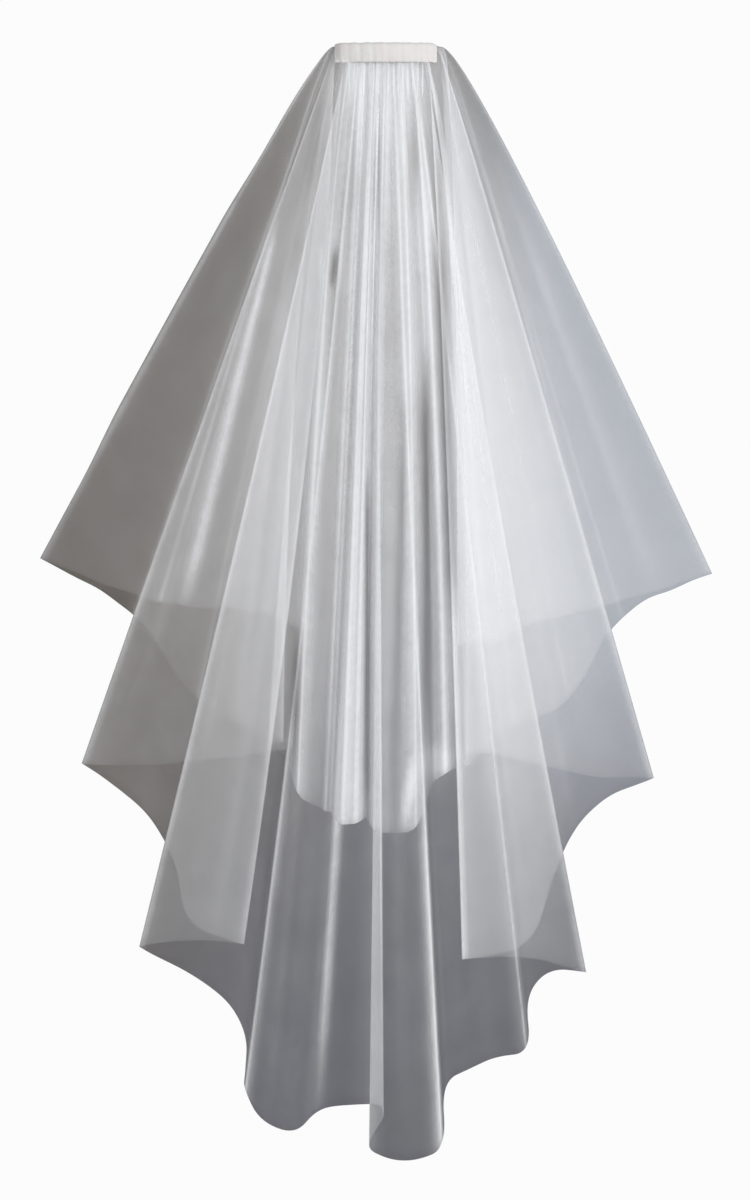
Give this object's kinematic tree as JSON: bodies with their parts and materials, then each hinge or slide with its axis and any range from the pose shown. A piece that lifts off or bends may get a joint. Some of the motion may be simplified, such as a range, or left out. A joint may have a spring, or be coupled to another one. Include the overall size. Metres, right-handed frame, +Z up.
{
  "type": "bridal veil",
  "caption": "Sheer white net bridal veil with a shorter outer tier over a longer inner tier, gathered under a narrow heading on a curved hair comb and hanging in fanned folds.",
  "frame": {"origin": "middle of the hair comb, at the roots of its teeth", "axes": "+Z up, along the hanging cloth; -Y is the outer side of the veil, with the shorter tier in front; +Y is the side of the wearer's head; +X is the right of the veil seen from its outer side"},
  "size_m": [0.6048, 0.1868, 1.0055],
  "materials": {
    "net": "sheer fine net, soft, no gloss",
    "heading": "folded net strip, matt",
    "comb": "clear, smooth"
  },
  "bodies": {
    "root": {"upper_tier": "net", "lower_tier": "net", "heading": "heading", "comb": "comb"}
  },
  "joints": []
}
